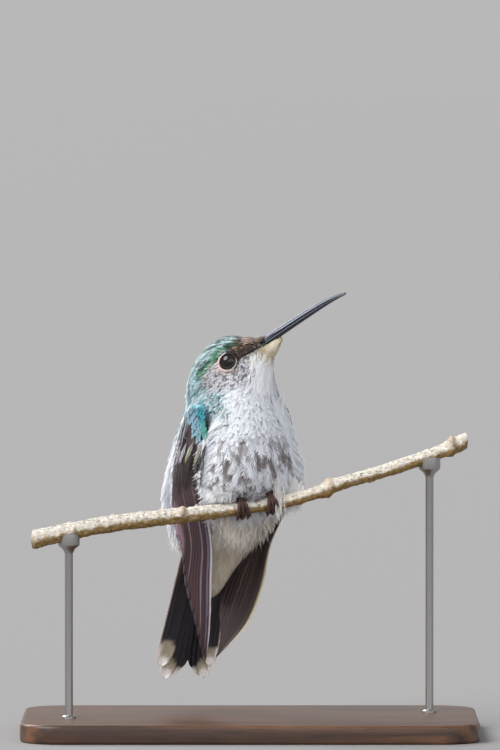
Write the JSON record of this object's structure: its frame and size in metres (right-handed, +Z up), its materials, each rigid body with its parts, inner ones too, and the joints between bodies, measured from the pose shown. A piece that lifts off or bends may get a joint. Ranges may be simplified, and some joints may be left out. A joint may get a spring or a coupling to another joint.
{
  "type": "hummingbird",
  "caption": "Life-size museum model of a small pale-bellied hummingbird, perched upright on a short twig that rods hold over a flat base.",
  "frame": {"origin": "middle of the base's underside, where the stand rests", "axes": "+Z up, +X along the twig towards the bird's left, -Y towards the viewer, whom the bird's breast faces, turned 28 degrees towards +X"},
  "size_m": [0.096, 0.058, 0.0931],
  "materials": {
    "plumage_body": "matte feathers, whitish below, mottled belly, turquoise green crown, back and shoulder",
    "plumage_flight": "satin dark brown flight and tail feathers, outer tail tips white",
    "bill": "satin blackish horn",
    "eye": "wet gloss, near black",
    "foot": "scaly, dark reddish brown, with black claws",
    "bark": "dry pale bark, yellowish brown below",
    "base_wood": "dark stained, satin varnish",
    "rod_metal": "brushed"
  },
  "bodies": {
    "root": {"head": "plumage_body", "neck": "plumage_body", "trunk": "plumage_body", "leg_right": "plumage_body", "leg_left": "plumage_body", "wing_right": "plumage_flight", "wing_left": "plumage_flight", "tail": "plumage_flight", "bill_upper": "bill", "bill_lower": "bill", "eye_right": "eye", "eye_left": "eye", "foot_right": "foot", "foot_left": "foot", "perch": "bark", "stand_rod_right": "rod_metal", "stand_rod_left": "rod_metal", "stand_base": "base_wood"}
  },
  "joints": []
}
